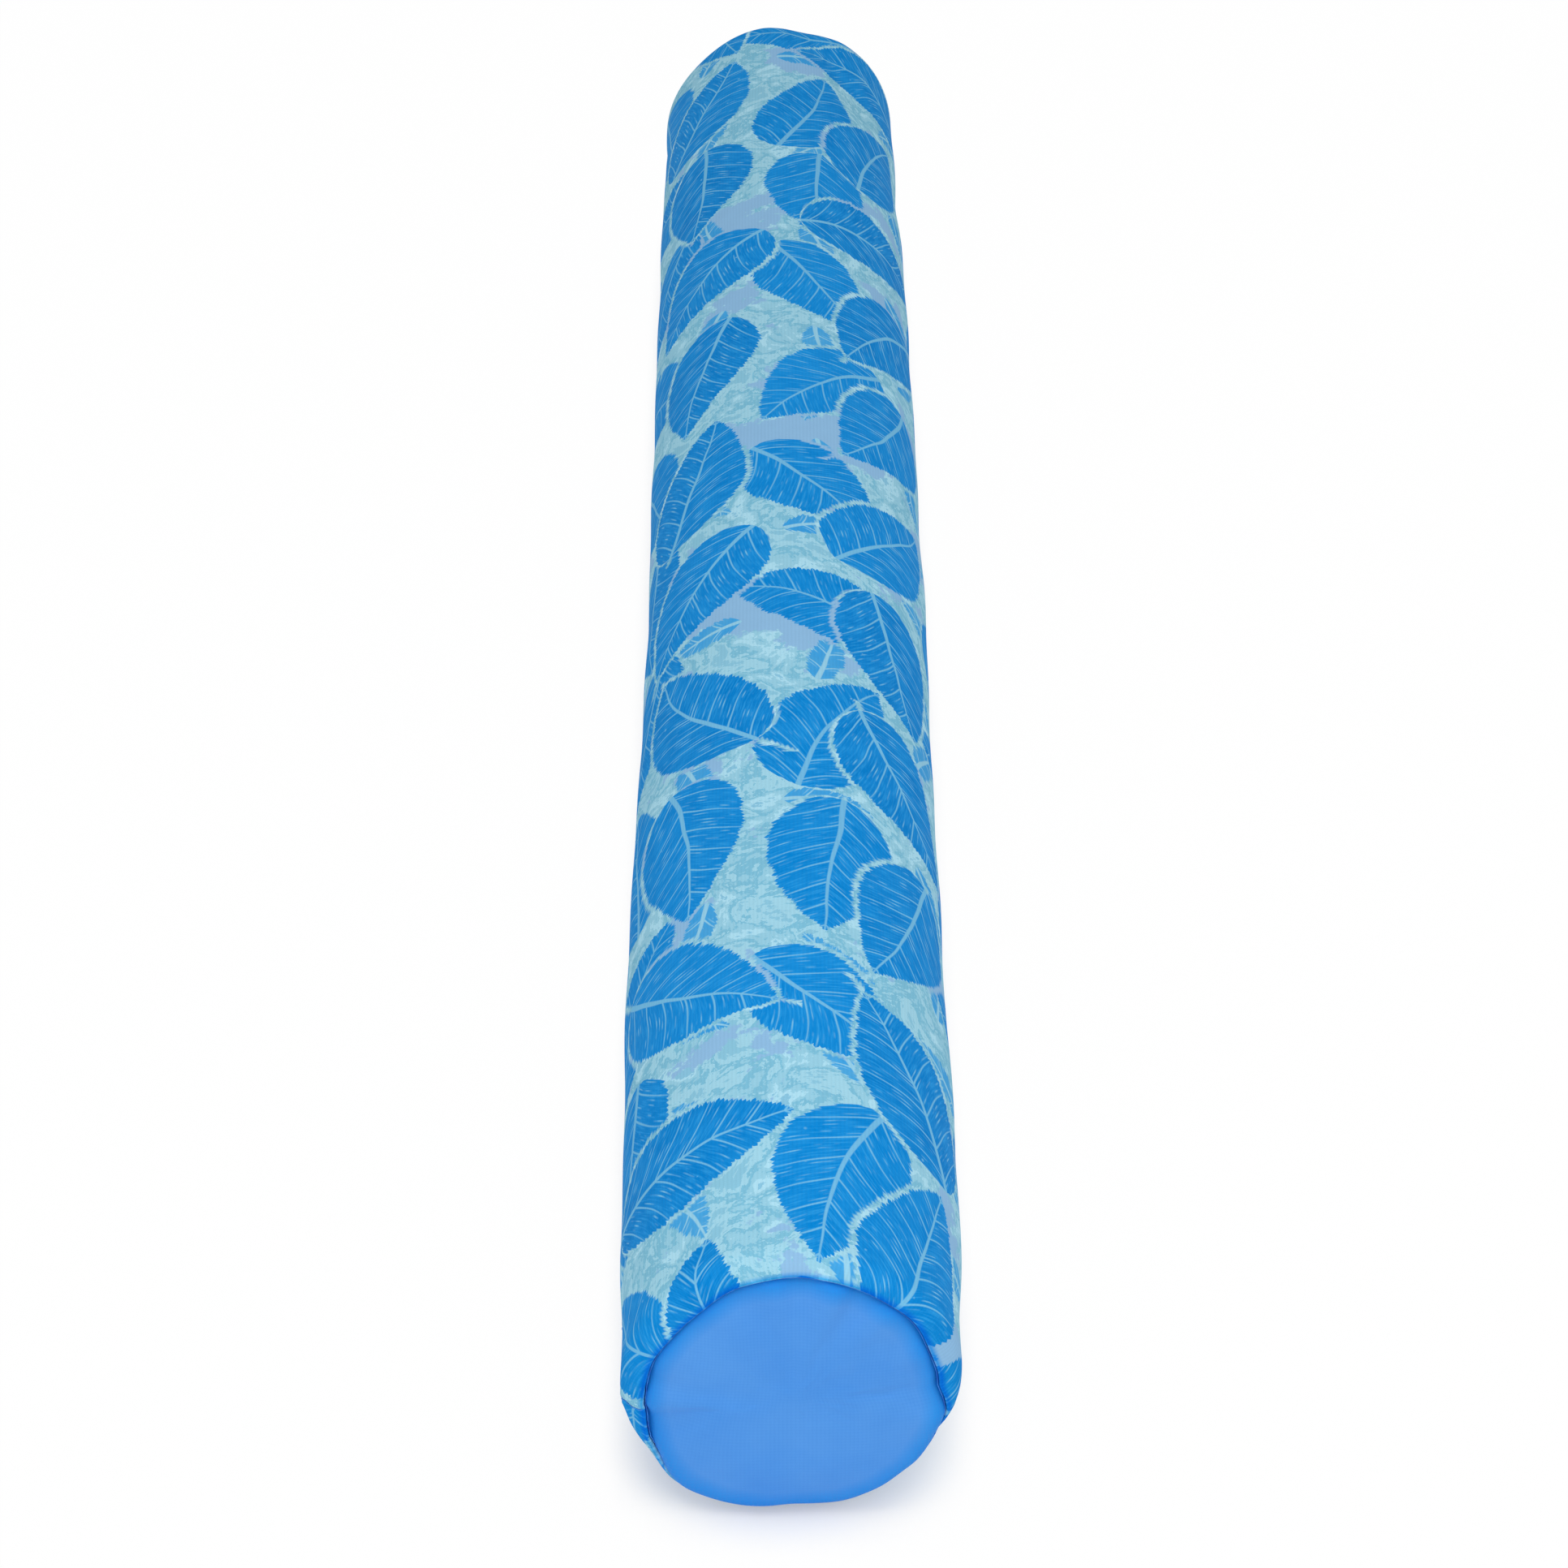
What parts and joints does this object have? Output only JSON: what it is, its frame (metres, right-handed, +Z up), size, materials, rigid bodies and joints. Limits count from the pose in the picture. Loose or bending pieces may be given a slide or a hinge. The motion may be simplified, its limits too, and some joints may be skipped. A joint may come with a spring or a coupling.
{
  "type": "pool noodle",
  "caption": "Thick pool noodle: a foam bar in a sewn, leaf-printed blue cloth cover with plain round end panels.",
  "frame": {"origin": "on the floor under the middle of the noodle", "axes": "+Y along the noodle from the front end to the rear end, +Z up from the flattened underside, +X to the right seen from the front end"},
  "size_m": [0.14, 1.118, 0.1382],
  "materials": {
    "printed_cloth": "woven polyester with a printed blue leaf pattern on an aqua ground, soft sheen",
    "plain_cloth": "fine plain-dyed woven polyester, soft sheen",
    "foam": "extruded closed-cell polyethylene foam, matt",
    "thread": "twisted polyester sewing thread"
  },
  "bodies": {
    "root": {"foam_core": "foam", "cover_sleeve": "printed_cloth", "front_end_panel": "plain_cloth", "rear_end_panel": "plain_cloth", "front_end_seam_thread": "thread", "rear_end_seam_thread": "thread", "lengthwise_seam_thread": "thread"}
  },
  "joints": []
}
